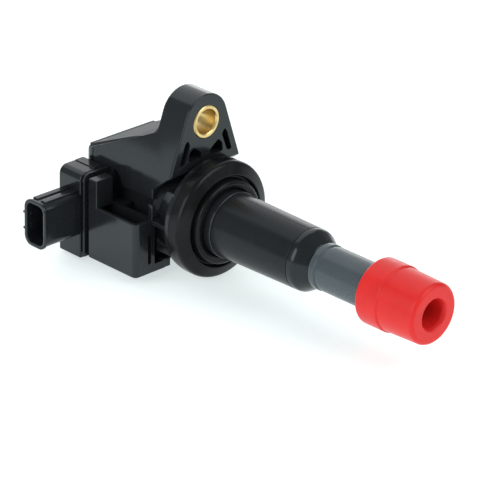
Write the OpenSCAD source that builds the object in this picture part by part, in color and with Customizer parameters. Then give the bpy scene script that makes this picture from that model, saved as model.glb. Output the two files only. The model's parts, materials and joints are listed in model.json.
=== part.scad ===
// Pencil ignition coil with a bolt ear, a side connector and a silicone plug boot.
// The plug axis is +X, the bolt ear is up (+Z) and the connector points to -Y.
// The origin is on the plug axis, at the back face of the well seal. Millimetres.

/* [Coil tube] */
// Length of the neck spigot in front of the seal's back face
neck_len = 10.9; // [9.5:0.1:16]
// Length of the coil tube in front of the neck spigot
tube_len = 34.2; // [26:0.1:60]
// Outer radius of the coil tube where it leaves the neck
tube_r = 11.3; // [10:0.1:14]
// Radius that the coil tube loses on its way to the front end
tube_taper = 0.55; // [0:0.05:0.8]
// Wall of the coil tube at its front end
tube_wall = 1.35; // [1:0.05:1.6]
// How far the coil tube reaches behind the seal's back face
tube_tail = 12; // [8:0.5:13]
// Length of the end cap that closes the tube
cap_len = 7.1; // [5:0.1:12]

/* [Tower and boot] */
// Length of the high-voltage tower in front of the end cap
tower_len = 34.8; // [28:0.1:60]
// Outer radius of the tower
tower_r = 7.7; // [6.6:0.1:8.6]
// Radius of the tower's bore, which holds the resistor and the spring
tower_bore_r = 3.2; // [3:0.05:4.2]
// Overall length of the boot
boot_len = 24; // [20:0.1:34]
// How far the boot is pushed over the tower
boot_grip = 11; // [8:0.1:14]
// Outer radius of the boot's collar
collar_r = 11.3; // [10.2:0.1:11.5]
// Length of the boot's collar
collar_len = 9.5; // [6:0.1:12]
// Radius of the bore that takes the spark plug's insulator
plug_bore_r = 4.95; // [4:0.05:6]

/* [Well seal] */
// Outer radius of the seal
seal_r = 20.5; // [18.5:0.1:24]
// Length of the seal's outer cylinder
seal_rim = 4; // [3:0.1:5]
// Width of the sloping face between the rim and the groove
seal_face = 3.9; // [2.5:0.1:4.2]
// Height of the sealing lip in front of the seal's back face
seal_lip = 8.3; // [7:0.1:9]

/* [Head] */
// Distance from the seal's back face to the head's rear face
head_len = 46.2; // [38:0.1:60]
// Half of the width of the main body
body_half_w = 16; // [14:0.5:20]
// Distance from the plug axis down to the underside of the head
body_drop = 17.8; // [15.5:0.1:19]
// Angle of the sloping top of the body
top_slope = 25.2; // [15:0.1:28]
// Wall between the body's cavity and its flanks
body_wall = 4; // [3.5:0.1:5]
// Height of the rim that stands on the sloping top round the rear opening
rim_h = 1.5; // [0.5:0.1:2.5]
// Radius of the body's upright rear corners
body_corner_r = 3; // [1:0.1:3.5]
// How far the side tray and the connector block stand out from the body
side_depth = 11.3; // [10:0.1:16]
// Height of the side tray's rim above the plug axis
tray_top = 1.5; // [-2:0.1:3]
// Wall of the side tray
tray_wall = 1.4; // [1:0.1:2]

/* [Bolt ear] */
// Height of the bolt bush above the plug axis
bolt_rise = 32.7; // [32:0.1:42]
// Thickness of the ear along the plug axis
ear_t = 11.5; // [8:0.1:14]
// Distance from the seal's back face back to the ear's front face
ear_back = 3.5; // [2.5:0.1:6]
// Radius of the ear's rounded top
ear_top_r = 9.6; // [8.6:0.1:12]
// Outer radius of the bolt bush
bush_r = 5.8; // [5:0.1:7]
// Radius of the bolt bush's bore
bush_bore_r = 4.2; // [3.2:0.05:4.5]
// Depth of the four blind pockets in the ear's front face
pocket_depth = 6; // [3:0.5:8]

/* [Connector] */
// Width of the connector shroud along the plug axis
shroud_w = 9.8; // [8.8:0.1:11]
// Height of the connector shroud
shroud_h = 16.1; // [15:0.1:20]
// Length of the connector shroud
shroud_len = 16.7; // [14:0.1:26]
// Wall of the connector shroud
shroud_wall = 1; // [0.8:0.1:1.6]
// Distance between the three terminals
pin_pitch = 4.25; // [3.6:0.05:4.5]
// Width of a terminal blade
blade_w = 2.3; // [1.5:0.1:2.8]
// Thickness of a terminal blade
blade_t = 0.64; // [0.5:0.02:1]

/* [Coil parts] */
// Radius of the laminated core
core_r = 4; // [3:0.1:4.2]
// Thickness of the rolled outer core
sleeve_t = 0.6; // [0.4:0.05:0.8]
// Thickness of the primary winding
primary_t = 0.7; // [0.4:0.05:0.9]
// Number of chambers on the secondary bobbin
chambers = 11; // [6:1:14]
// Number of turns on the contact spring
spring_turns = 7; // [5:1:9]
// Wire diameter of the contact spring
spring_wire = 0.7; // [0.5:0.05:0.8]

/* [Hidden] */

// Clearances: a gap between pieces that don't move, and running fits
gap = 0.05;
seal_fit = 0.1;
boot_fit = 0.06;
contact_fit = 0.1;
round_fn = 96;

// Stations along the plug axis
tube_end = neck_len + tube_len;
cap_end = tube_end + cap_len;
tower_end = cap_end + tower_len;
boot_start = tower_end - boot_grip;
boot_end = boot_start + boot_len;
ear_front = -ear_back;
ear_rear = ear_front - ear_t;
body_front = -12;
tray_front = -8;
seat_t = 2;

// Neck and tube radii, from the outside in
spigot_r = tube_r + 0.35;
spigot_wall = 1.2;
neck_bore_r = spigot_r - spigot_wall;
tube_tail_r = neck_bore_r - gap;
tube_tip_r = tube_r - tube_taper;
tube_in_r = tube_tip_r - tube_wall;
neck_r = seal_r - 4.5;
seat_r = seal_r - 0.4;

// Coil radii inside the tube
sleeve_r = tube_in_r - 2 * gap;
spool_flange_r = sleeve_r - sleeve_t - 2 * gap;
primary_out_r = spool_flange_r - 0.2;
primary_in_r = primary_out_r - primary_t;
spool_wall = 0.5;
spool_in_r = primary_in_r - spool_wall;
secondary_flange_r = spool_in_r - 2 * gap;
secondary_out_r = secondary_flange_r - 0.2;
secondary_tube_r = core_r + 0.15 + spool_wall;

// Coil stations
coil_rear = -tube_tail + 1;
coil_front = tube_end - 3;
flange_t = 1;
magnet_t = 3;
cushion_t = 1.5;
core_rear = coil_rear + cushion_t + magnet_t;
core_front = coil_front - cushion_t - magnet_t;
plug_tail = 2;

// Tower stations
tower_collar = 2.8;
tower_collar_r = tower_r + 0.2;
tower_tail = 4.7;
tower_tail_r = tower_r - 1.7;
resistor_rear = cap_end + 4;
resistor_len = 11.8;
spring_rear = resistor_rear + resistor_len;
lip_t = 1.5;
lip_r = tower_bore_r - 0.5;
contact_stop = tower_end - lip_t;
contact_body = 5;
contact_nose = 3.1;
contact_cup = 2;
contact_r = tower_bore_r - contact_fit;
spring_seat_r = contact_r - 0.4;
spring_r = spring_seat_r - 0.2 - spring_wire / 2;
spring_front = contact_stop - contact_body + contact_cup;
high_voltage_pin_r = 2;

// Head stations
head_rear = -head_len;
body_floor = -body_drop;
side_face = -body_half_w - side_depth;
ear_floor = 16.8;
ear_rise = bolt_rise + 0.2;
corner_z = 16;
foot_x = ear_rear - 2.6;
foot_z = 27.5;
underside_z = 10;
recess_depth = 2;
recess_top = 6.7;
arch_r = 6.4;
arch_z = 5.8;
cavity_half_w = body_half_w - body_wall;
cavity_floor = body_floor + 2.5;
cavity_top = 15;
cavity_front = -tube_tail - 5;
roof_wall = 2.5;
resin_recess = 1.3;
flange_plate_t = 2;
flange_x = head_rear + 12.9;
flange_top = 11.9;
flange_corner = 2.5;
rim_t = 1.8;
flange_proud = 0.4;
block_top = 11.2;
block_drop = 2;
bush_proud = 0.2;

// Connector stations
pin_x = head_rear + 6.75;
pin_z = -3.45;
shroud_mouth = side_face - shroud_len;
shroud_depth = 14.5;
blade_tip = shroud_mouth + 4.7;
inner_end = -cavity_half_w + 2;
window_w = 8;
window_h = 13.4;

// Igniter
plate_x = head_rear + 3;
plate_t = 1.2;
package_t = 4;
package_half_y = 7;
package_y = 1;
package_z = -7;
package_h = 12;
lead_x = pin_x;

// Height of the sloping top at a given station
function top_z(x) = foot_z + (x - foot_x) * tan(top_slope);
// Point where the line from p touches a circle, on the given side
function touch(c, r, p, side) =
    let (v = p - c, a = atan2(v.y, v.x) + side * acos(r / norm(v)))
    c + r * [cos(a), sin(a)];
// Points on an arc
function arc(c, r, from, to, n = 10) =
    [for (i = [0:n]) c + r * [cos(from + (to - from) * i / n), sin(from + (to - from) * i / n)]];

// Solid of revolution about the plug axis, from [station, radius] points
module turned(points) {
    rotate([0, 90, 0])
        rotate_extrude($fn = round_fn)
            polygon([for (p = points) [p[1], p[0]]]);
}

// Straight cylinder along the plug axis
module rod(from, to, r) {
    translate([from, 0, 0])
        rotate([0, 90, 0])
            cylinder(h = to - from, r = r, $fn = round_fn);
}

// Tube along the plug axis
module pipe(from, to, outer, inner) {
    turned([[from, inner], [to, inner], [to, outer], [from, outer]]);
}

// Box between two corners, grown by g
module block(low, high, g = 0) {
    translate(low - [g, g, g])
        cube(high - low + 2 * [g, g, g]);
}

// Outline in Y and Z, drawn out along X
module along_x(from, to) {
    translate([from, 0, 0])
        rotate([90, 0, 90])
            linear_extrude(to - from)
                children();
}

// Outline in X and Z, drawn out along Y
module along_y(from, to) {
    translate([0, to, 0])
        rotate([90, 0, 0])
            linear_extrude(to - from)
                children();
}

// Rectangle with round corners, about its centre
module round_rect(w, h, r) {
    square([w - 2 * r, h], center = true);
    square([w, h - 2 * r], center = true);
    for (sx = [-1, 1], sy = [-1, 1])
        translate([sx * (w / 2 - r), sy * (h / 2 - r)])
            circle(r, $fn = 32);
}

// Flange plate beside the body, with its upper outer corner rounded
module flange_plate(from, to, inner) {
    outer = side_face - flange_proud;
    along_x(from, to)
        polygon(concat(
            [[inner, body_floor - flange_proud], [inner, flange_top]],
            arc([outer + flange_corner, flange_top - flange_corner], flange_corner, 90, 180, 6),
            [[outer, body_floor - flange_proud]]
        ));
}

// ---- Head case ----

// Front outline of the ear and of the body behind it
module body_outline() {
    centre = [0, ear_rise];
    right = touch(centre, ear_top_r, [body_half_w, corner_z], 1);
    translate(centre)
        circle(ear_top_r, $fn = round_fn);
    polygon([
        right, [body_half_w, corner_z], [body_half_w, body_floor],
        [-body_half_w, body_floor], [-body_half_w, corner_z], [-right.x, right.y]
    ]);
}

// Side outline: sloping top, curve up to the ear, and slanting underside
module body_profile() {
    bend_r = 4;
    half = (90 - top_slope) / 2;
    reach = bend_r * tan(half);
    corner = [ear_rear, top_z(ear_rear)];
    centre = corner + [-bend_r, reach];
    ear_top = ear_rise + ear_top_r + 1;
    polygon(concat(
        [[head_rear, body_floor], [head_rear, top_z(head_rear)]],
        arc(centre, bend_r, top_slope - 90, 0),
        [[ear_rear, ear_top], [ear_front, ear_top], [ear_front, ear_floor],
         [body_front, underside_z], [body_front, body_floor]]
    ));
}

module ear_pockets() {
    slot_w = 2.2;
    rib_half = 1.9;
    for (side = [-1, 1])
        along_x(ear_front - pocket_depth, ear_front + 1) {
            polygon([
                [side * rib_half, bolt_rise - 10.3], [side * 5.7, bolt_rise - 7.5],
                [side * 7.6, bolt_rise - 9.5], [side * 7.8, ear_floor + 3.4],
                [side * rib_half, ear_floor + 3.6]
            ]);
            polygon([
                [side * 7.2, bolt_rise - 6.3], [side * 8.4, bolt_rise - 4.4],
                [side * 9.6, bolt_rise - 5.7], [side * (9.8 + slot_w), ear_floor + 3],
                [side * 9.8, ear_floor + 3]
            ]);
        }
}

module neck() {
    rod(body_front, -seat_t, neck_r);
    rod(-seat_t, 0, seat_r);
    rod(-seat_t, neck_len, spigot_r);
}

// Thin-walled tray beside the body, and the flange that meets the connector block
module side_tray() {
    rear = flange_x;
    inner = -body_half_w + recess_depth;
    difference() {
        block([rear, side_face, body_floor], [tray_front, inner, tray_top]);
        block([rear + flange_plate_t, side_face + tray_wall, body_floor + 5],
              [tray_front - tray_wall, -body_half_w - 4, tray_top + 1]);
        block([rear + 10, -body_half_w - 4 + tray_wall, body_floor + 3],
              [tray_front + 1, inner + 1, tray_top + 1]);
        block([tray_front - 5, -body_half_w - 5.6, body_floor + 3.5],
              [tray_front + 1, -body_half_w - 4.2, tray_top - 5]);
    }
    flange_plate(rear, rear + flange_plate_t, inner);
    block([rear + flange_plate_t - gap, side_face, tray_top - gap],
          [rear + 6, side_face + 7.5, block_top]);
    block([tray_front - 5, inner - 1, body_floor],
          [tray_front, -body_half_w + 4.8, body_floor + 3.5]);
    block([tray_front - 2, -body_half_w - 4, tray_top - gap],
          [tray_front, -body_half_w - 4 + tray_wall, recess_top]);
}

// Upright outline of the body, with its rear corners rounded
module body_plan() {
    r = body_corner_r;
    translate([head_rear, -body_half_w + r])
        square([head_len, 2 * (body_half_w - r)]);
    translate([head_rear + r, -body_half_w])
        square([head_len - r, 2 * body_half_w]);
    for (side = [-1, 1])
        translate([head_rear + r, side * (body_half_w - r)])
            circle(r, $fn = round_fn);
}

// Raised rim over the rear opening, which holds the resin back while it sets
module rear_rim() {
    half = body_half_w - body_corner_r + 0.2;
    along_y(-half, half)
        polygon([
            [head_rear, top_z(head_rear) - 1], [head_rear, top_z(head_rear) + rim_h],
            [head_rear + rim_t, top_z(head_rear) + rim_h], [head_rear + rim_t, top_z(head_rear) - 1]
        ]);
}

// Plate that ties the side tray to the seal's seat
module gusset() {
    along_y(-neck_r - 1, -neck_r + 2)
        polygon([[tray_front - 1, 1.2], [tray_front - 0.6, 5], [-5, 12.2], [-1, 12.2], [-1, 1.2]]);
    block([tray_front - 1, -body_half_w - 4, 1.2 - tray_wall], [-1, -neck_r + 2, 1.2 + gap]);
}

// Recess along the flank above the tray, with its arch at the rear
module flank_recess() {
    along_y(-body_half_w - 1, -body_half_w + recess_depth) {
        translate([flange_x + flange_plate_t, body_floor - 1])
            square([body_front + 1 - flange_x - flange_plate_t, recess_top - body_floor + 1]);
        intersection() {
            translate([flange_x, arch_z])
                circle(arch_r, $fn = round_fn);
            translate([flange_x + flange_plate_t, body_floor])
                square([arch_r, 40]);
        }
    }
}

// Inside of the body, shrunk by g
module cavity(rear, g = 0) {
    roof = min(cavity_top, top_z(rear) - roof_wall);
    bend = foot_x + (cavity_top + roof_wall - foot_z) / tan(top_slope);
    along_y(-cavity_half_w + g, cavity_half_w - g)
        polygon([
            [rear, cavity_floor + g], [rear, roof - g], [max(bend, rear + 0.1), cavity_top - g],
            [cavity_front - g, cavity_top - g], [cavity_front - g, cavity_floor + g]
        ]);
}

module window(g = 0) {
    block([pin_x - window_w / 2, -body_half_w - 1, pin_z - window_h / 2],
          [pin_x + window_w / 2, -cavity_half_w + 1, pin_z + window_h / 2], g);
}

module head_case() {
    color("#1b1d1f")
        difference() {
            union() {
                difference() {
                    intersection() {
                        along_x(head_rear, ear_front)
                            body_outline();
                        along_y(-body_half_w - 1, body_half_w + 1)
                            body_profile();
                        translate([0, 0, body_floor - 1])
                            linear_extrude(body_drop + ear_rise + ear_top_r + 2)
                                body_plan();
                    }
                    flank_recess();
                }
                rear_rim();
                neck();
                side_tray();
                gusset();
            }
            cavity(head_rear - 1);
            rod(cavity_front - 1, neck_len + 1, neck_bore_r);
            window();
            ear_pockets();
            translate([0, 0, bolt_rise])
                rod(ear_rear - 1, ear_front + 1, bush_r + gap);
        }
}

// ---- Connector ----

module connector_housing() {
    block_front = flange_x - gap;
    color("#202224")
        difference() {
            union() {
                along_x(head_rear, block_front)
                    polygon(concat(
                        [[-body_half_w - gap, body_floor - block_drop], [-body_half_w - gap, block_top]],
                        arc([side_face + 3, block_top - 3], 3, 90, 180),
                        [[side_face, body_floor - block_drop]]
                    ));
                flange_plate(block_front - flange_plate_t, block_front, -body_half_w - gap);
                translate([pin_x, side_face + 1, pin_z])
                    rotate([90, 0, 0]) {
                        linear_extrude(shroud_len + 1)
                            round_rect(shroud_w, shroud_h, 3);
                        translate([0, 0, shroud_len - 0.6])
                            linear_extrude(1.6)
                                round_rect(shroud_w + 0.8, shroud_h + 0.8, 3.4);
                        for (x = [-3.3, 0.6])
                            translate([x, shroud_h / 2 - 1, 0])
                                cube([2.5, 1.45, shroud_len - 2.2]);
                    }
                for (z = [pin_z + 2.3, pin_z - 3.5])
                    block([pin_x - shroud_w / 2 - 1.3, shroud_mouth + 0.2, z],
                          [pin_x - shroud_w / 2 + 0.5, shroud_mouth + 1.4, z + 0.9]);
                block([pin_x - window_w / 2 + gap, -body_half_w - 1, pin_z - window_h / 2 + gap],
                      [pin_x + window_w / 2 - gap, -cavity_half_w, pin_z + window_h / 2 - gap]);
            }
            translate([pin_x, shroud_mouth + shroud_depth, pin_z])
                rotate([90, 0, 0])
                    linear_extrude(shroud_depth + 1)
                        round_rect(shroud_w - 2 * shroud_wall, shroud_h - 2 * shroud_wall, 2.2);
            for (row = [-1, 0, 1])
                terminal_blade(row, gap / 2);
        }
}

// One terminal, from its tip in the shroud to the igniter's lead
module terminal_blade(row, g = 0) {
    z = pin_z + row * pin_pitch;
    block([pin_x - blade_t / 2, blade_tip, z - blade_w / 2],
          [pin_x + blade_t / 2, inner_end, z + blade_w / 2], g);
}

module supply_terminal() {
    color("#c9c3ae")
        terminal_blade(1);
}

module ground_terminal() {
    color("#c9c3ae")
        terminal_blade(0);
}

module trigger_terminal() {
    color("#c9c3ae")
        terminal_blade(-1);
}

// ---- Igniter ----

module heat_plate(g = 0) {
    block([plate_x, package_y - package_half_y - 1, package_z - 1],
          [plate_x + plate_t, package_y + package_half_y + 1, package_z + package_h + 3], g);
}

module package(g = 0) {
    block([plate_x + plate_t, package_y - package_half_y, package_z],
          [plate_x + plate_t + package_t, package_y + package_half_y, package_z + package_h], g);
}

module leads(g = 0) {
    for (row = [-1, 0, 1])
        block([lead_x - blade_t / 2, inner_end, pin_z + row * pin_pitch - 0.6],
              [lead_x + blade_t / 2, package_y - package_half_y, pin_z + row * pin_pitch + 0.6], g);
}

module primary_strips(g = 0) {
    strip_t = 0.6;
    strip_y = 2.2;
    strip_half_w = 0.8;
    strip_z = primary_in_r - strip_t / 2;
    strip_end = coil_rear - 0.2;
    for (side = [-1, 1]) {
        inner = side * strip_y - strip_half_w;
        outer = side * strip_y + strip_half_w;
        block([lead_x - strip_t / 2, inner, package_z + package_h],
              [lead_x + strip_t / 2, outer, strip_z + strip_t], g);
        block([lead_x + strip_t / 2, inner, strip_z], [strip_end, outer, strip_z + strip_t], g);
    }
}

module igniter_heat_plate() {
    color("#b87333")
        heat_plate();
}

module igniter_package() {
    color("#2b2b2e")
        package();
}

module igniter_leads() {
    color("#c8c8c4")
        leads();
}

module primary_terminals() {
    color("#c8c8c4")
        primary_strips();
}

module resin_fill() {
    color("#2a2724")
        difference() {
            cavity(head_rear + resin_recess, gap);
            package(gap);
            heat_plate(gap);
            leads(gap);
            primary_strips(gap);
            window(gap);
            for (row = [-1, 0, 1])
                terminal_blade(row, gap);
        }
}

module bolt_bush() {
    chamfer = 0.25;
    from = ear_rear - bush_proud;
    to = ear_front + bush_proud;
    color("#c99a3c")
        translate([0, 0, bolt_rise])
            turned([
                [from, bush_bore_r + chamfer], [from + chamfer, bush_bore_r],
                [to - chamfer, bush_bore_r], [to, bush_bore_r + chamfer],
                [to, bush_r - chamfer], [to - chamfer, bush_r],
                [from + chamfer, bush_r], [from, bush_r - chamfer]
            ]);
}

// ---- Shaft ----

module well_seal() {
    bore = spigot_r + seal_fit;
    edge_r = seal_r - 0.5;
    groove_out = edge_r - seal_face;
    groove_in = groove_out - 1.2;
    lip_mid = (groove_in + bore) / 2 + 0.3;
    color("#141414")
        turned([
            [0, bore], [0, seal_r], [seal_rim, seal_r], [seal_rim + 1.1, edge_r],
            [seal_lip - 1.6, groove_out], [seal_lip - 3.6, groove_out - 0.2],
            [seal_lip - 3.6, groove_in + 0.1], [seal_lip - 0.5, groove_in - 0.1],
            [seal_lip, lip_mid], [seal_lip - 0.4, bore + 0.3], [seal_lip - 1, bore]
        ]);
}

module coil_tube() {
    color("#232527")
        turned([
            [-tube_tail, tube_in_r], [tube_end, tube_in_r], [tube_end, tube_tip_r],
            [neck_len + gap, tube_r], [neck_len + gap, tube_tail_r], [-tube_tail, tube_tail_r]
        ]);
}

module tube_end_cap() {
    from = tube_end + gap;
    pin_hole = high_voltage_pin_r + gap;
    socket_r = tower_tail_r + gap;
    socket = cap_end - tower_tail - gap;
    color("#121314")
        turned([
            [tube_end - plug_tail, pin_hole], [socket, pin_hole], [socket, socket_r], [cap_end, socket_r],
            [cap_end, tower_r - 0.1], [from + 2.2, tube_tip_r - 0.1], [from, tube_tip_r],
            [from, tube_in_r - gap], [tube_end - plug_tail, tube_in_r - gap]
        ]);
}

module tower_tube() {
    from = cap_end + gap;
    collar_end = from + tower_collar;
    pin_hole = high_voltage_pin_r + gap;
    color("#5a686e")
        turned([
            [cap_end - tower_tail, pin_hole], [resistor_rear - gap, pin_hole],
            [resistor_rear - gap, tower_bore_r], [contact_stop, tower_bore_r], [contact_stop, lip_r],
            [tower_end, lip_r], [tower_end, tower_r - 0.8], [tower_end - 0.8, tower_r],
            [collar_end + 0.8, tower_r], [collar_end, tower_r - 0.25], [collar_end - 0.4, tower_collar_r],
            [from, tower_collar_r], [from, tower_tail_r], [cap_end - tower_tail, tower_tail_r]
        ]);
}

module plug_boot() {
    bore = tower_r + boot_fit;
    shoulder = tower_end + 0.4;
    relief_r = plug_bore_r + 0.8;
    relief_end = contact_stop + contact_nose + 0.2;
    mouth = 1.4;
    body_r = collar_r - 0.45;
    front_r = body_r - 0.45;
    collar_end = boot_start + collar_len;
    color("#e0383c")
        turned([
            [boot_start, bore], [shoulder, bore], [shoulder, relief_r], [relief_end, relief_r],
            [relief_end, plug_bore_r], [boot_end - mouth, plug_bore_r],
            [boot_end, plug_bore_r + 0.7], [boot_end, front_r - 0.9], [boot_end - 0.9, front_r],
            [collar_end, body_r], [collar_end - 0.3, collar_r], [boot_start + 0.6, collar_r],
            [boot_start, collar_r - 0.6]
        ]);
}

// ---- Coil ----

module outer_core() {
    slit = 1.2;
    color("#8e9296")
        difference() {
            pipe(coil_rear - 0.5, coil_front + 0.5, sleeve_r, sleeve_r - sleeve_t);
            block([coil_rear - 1, 0, -slit / 2], [coil_front + 1, sleeve_r + 1, slit / 2]);
        }
}

module primary_bobbin() {
    color("#d8d3c4")
        turned([
            [coil_rear, spool_in_r], [coil_front, spool_in_r], [coil_front, spool_flange_r],
            [coil_front - flange_t, spool_flange_r], [coil_front - flange_t, primary_in_r],
            [coil_rear + flange_t, primary_in_r], [coil_rear + flange_t, spool_flange_r],
            [coil_rear, spool_flange_r]
        ]);
}

module primary_winding() {
    color("#b5651d")
        pipe(coil_rear + flange_t + gap, coil_front - flange_t - gap, primary_out_r, primary_in_r + gap);
}

// Stations of the secondary bobbin's flanges
chamber_pitch = (coil_front - coil_rear - flange_t) / chambers;
function flange_at(i) = coil_rear + i * chamber_pitch;

module secondary_bobbin() {
    color("#e6e0cf")
        union() {
            pipe(coil_rear, coil_front, secondary_tube_r, core_r + 0.15);
            for (i = [0:chambers])
                pipe(flange_at(i), flange_at(i) + flange_t, secondary_flange_r, secondary_tube_r - 0.1);
        }
}

// Each chamber holds a little less wire towards the high-voltage end
module secondary_winding() {
    color("#9c4a1a")
        for (i = [0:chambers - 1])
            pipe(flange_at(i) + flange_t + gap, flange_at(i + 1) - gap,
                 secondary_out_r - 0.6 * (secondary_out_r - secondary_tube_r) * i / chambers,
                 secondary_tube_r + gap);
}

// Stack of steel strips whose widths follow a circle
module laminated_core() {
    strips = 12;
    pitch = 2 * core_r / strips;
    color("#777b80")
        for (i = [0:strips - 1]) {
            z = -core_r + i * pitch;
            edge = max(abs(z), abs(z + pitch));
            half = sqrt(max(core_r * core_r - edge * edge, 0.3));
            block([core_rear, -half, z], [core_front, half, z + pitch]);
        }
}

module rear_magnet() {
    color("#3c3f44")
        rod(core_rear - magnet_t, core_rear, core_r);
}

module front_magnet() {
    color("#3c3f44")
        rod(core_front, core_front + magnet_t, core_r);
}

module rear_cushion() {
    color("#1f1f1f")
        rod(coil_rear, coil_rear + cushion_t, core_r);
}

module front_cushion() {
    color("#1f1f1f")
        rod(coil_front - cushion_t, coil_front, core_r);
}

// ---- High-voltage path ----

module high_voltage_terminal() {
    head = 0.9;
    color("#cfd2d4")
        turned([
            [coil_front + gap, 0], [coil_front + gap, 3.5], [coil_front + head, 3.5],
            [coil_front + head, high_voltage_pin_r], [resistor_rear, high_voltage_pin_r], [resistor_rear, 0]
        ]);
}

module noise_resistor() {
    cap = 2;
    body_r = tower_bore_r - gap - 0.3;
    end_r = tower_bore_r - gap;
    color("#b9b2a2")
        turned([
            [resistor_rear, 0], [resistor_rear, end_r], [resistor_rear + cap, end_r],
            [resistor_rear + cap, body_r], [spring_rear - cap, body_r],
            [spring_rear - cap, end_r], [spring_rear, end_r], [spring_rear, 0]
        ]);
}

// Round wire swept along a helix that flattens at both ends
module contact_spring() {
    sides = 6;
    steps = 16;
    wire_r = spring_wire / 2;
    count = spring_turns * steps;
    from = spring_rear + wire_r;
    to = spring_front - wire_r;
    closed = 1 / spring_turns;
    function climb(t) = t < closed ? spring_wire * t / closed
        : t > 1 - closed ? (to - from) - spring_wire * (1 - t) / closed
        : spring_wire + (to - from - 2 * spring_wire) * (t - closed) / (1 - 2 * closed);
    ring = [for (i = [0:count], k = [0:sides - 1])
        let (a = 360 * i / steps, b = 360 * k / sides, r = spring_r + wire_r * cos(b))
        [from + climb(i / count) + wire_r * sin(b), r * cos(a), r * sin(a)]];
    walls = [for (i = [0:count - 1], k = [0:sides - 1])
        let (n = (k + 1) % sides)
        [i * sides + k, i * sides + n, (i + 1) * sides + n, (i + 1) * sides + k]];
    ends = [
        [for (k = [sides - 1:-1:0]) k],
        [for (k = [0:sides - 1]) count * sides + k]
    ];
    color("#c4c7c9")
        polyhedron(ring, concat(walls, ends));
}

module plug_contact() {
    rear = contact_stop - contact_body;
    nose_end = contact_stop + contact_nose;
    nose_r = lip_r - 0.4;
    color("#d8d9d6")
        turned([
            [rear + contact_cup, 0], [rear + contact_cup, spring_seat_r], [rear, spring_seat_r],
            [rear, contact_r], [contact_stop - gap, contact_r], [contact_stop - gap, nose_r],
            [nose_end - 0.5, nose_r], [nose_end, nose_r - 0.5], [nose_end, 0]
        ]);
}

head_case();
connector_housing();
resin_fill();
bolt_bush();
well_seal();
coil_tube();
tube_end_cap();
tower_tube();
plug_boot();
outer_core();
primary_bobbin();
primary_winding();
secondary_bobbin();
secondary_winding();
laminated_core();
rear_magnet();
front_magnet();
rear_cushion();
front_cushion();
primary_terminals();
igniter_package();
igniter_heat_plate();
igniter_leads();
supply_terminal();
ground_terminal();
trigger_terminal();
high_voltage_terminal();
noise_resistor();
contact_spring();
plug_contact();
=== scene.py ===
"""Looks of a pencil ignition coil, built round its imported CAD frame.

The plug axis is +X, the bolt ear is up and the connector points to -Y. Helpers take millimetres.
"""

import json
import math
from contextlib import contextmanager

import bpy
from mathutils import Matrix, Vector


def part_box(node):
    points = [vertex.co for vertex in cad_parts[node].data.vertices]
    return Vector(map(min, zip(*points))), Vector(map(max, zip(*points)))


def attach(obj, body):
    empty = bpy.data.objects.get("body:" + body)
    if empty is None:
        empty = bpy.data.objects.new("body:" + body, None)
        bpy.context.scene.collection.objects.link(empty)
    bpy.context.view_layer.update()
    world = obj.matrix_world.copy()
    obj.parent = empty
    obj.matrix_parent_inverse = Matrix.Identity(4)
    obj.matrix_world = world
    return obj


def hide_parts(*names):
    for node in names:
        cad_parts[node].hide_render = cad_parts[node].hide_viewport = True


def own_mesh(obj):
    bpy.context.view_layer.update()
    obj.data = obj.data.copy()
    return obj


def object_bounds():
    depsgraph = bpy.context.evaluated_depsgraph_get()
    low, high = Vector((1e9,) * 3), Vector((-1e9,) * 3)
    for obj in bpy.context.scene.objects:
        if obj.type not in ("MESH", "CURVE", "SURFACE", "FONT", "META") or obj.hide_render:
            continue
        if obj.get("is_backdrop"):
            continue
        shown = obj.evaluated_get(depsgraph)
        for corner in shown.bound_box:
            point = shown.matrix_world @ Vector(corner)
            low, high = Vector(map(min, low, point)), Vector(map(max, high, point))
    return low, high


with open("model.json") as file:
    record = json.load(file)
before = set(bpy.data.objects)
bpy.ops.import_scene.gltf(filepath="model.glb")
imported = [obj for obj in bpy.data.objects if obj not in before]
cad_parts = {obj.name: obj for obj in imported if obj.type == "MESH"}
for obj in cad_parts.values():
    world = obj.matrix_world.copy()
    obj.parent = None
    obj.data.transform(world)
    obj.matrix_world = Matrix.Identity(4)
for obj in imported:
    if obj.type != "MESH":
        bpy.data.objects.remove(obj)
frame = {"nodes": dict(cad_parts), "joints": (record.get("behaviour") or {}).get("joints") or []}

bl_info = {
    "name": "Pencil ignition coil",
    "version": (1, 0, 0),
    "blender": (4, 5, 0),
    "location": "View3D > Sidebar > Ignition coil",
    "description": "Builds the looks of a pencil ignition coil round its packed CAD frame",
    "category": "Object",
}

MM = 0.001

# How the meshes are made.
SMOOTH_ANGLE = math.radians(38)  # flatter edges than this are shaded smooth
SHARP_ANGLE = math.radians(42)  # sharper edges than this are rounded
FLAT_ANGLE = math.radians(0.2)  # flatter edges than this are dissolved; fine roundings stay
SAME_PLACE = 2e-6  # corners closer than this are one, in metres
TURN_STEPS = 112  # facets round a turned piece

# Sizes of the coil that several pieces share, in millimetres.
REAR = -46.2  # rear face of the head and of the connector block
UNDERSIDE = -17.8  # underside of the head
SIDE = 16  # half the width of the head's body
EAR_FRONT = -3.5  # front face of the ear
BUSH_Z = 32.7  # height of the bush's axis
SLOPE = 25.2  # rise of the head's top towards the ear, in degrees
RIM_TOP = 15.54  # top of the rim round the resin
TRAY_SIDE = -13.6  # where the tray meets the body
BLOCK_SIDE = -16.05  # where the connector block meets the body
FLANGE_PLATE = 0.4  # thickness of each thin rib of the flange
GROOVE = 1.9  # depth of the grooves between the flange's ribs
PIN_X, PIN_Z = -39.45, -3.45  # middle of the connector's socket
PIN_PITCH = 4.25  # distance from one terminal blade to the next
SPRING_TURNS = 7
SPRING_RADIUS, SPRING_WIRE = 2.15, 0.35  # radius of the coil and of its wire
LAMINATION = 0.667  # thickness of one strip of the core
PRIMARY_PITCH, SECONDARY_PITCH = 0.48, 0.12  # thickness of the wound wires
RESISTOR_CAP = 2.0  # length of the resistor's metal caps

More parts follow.
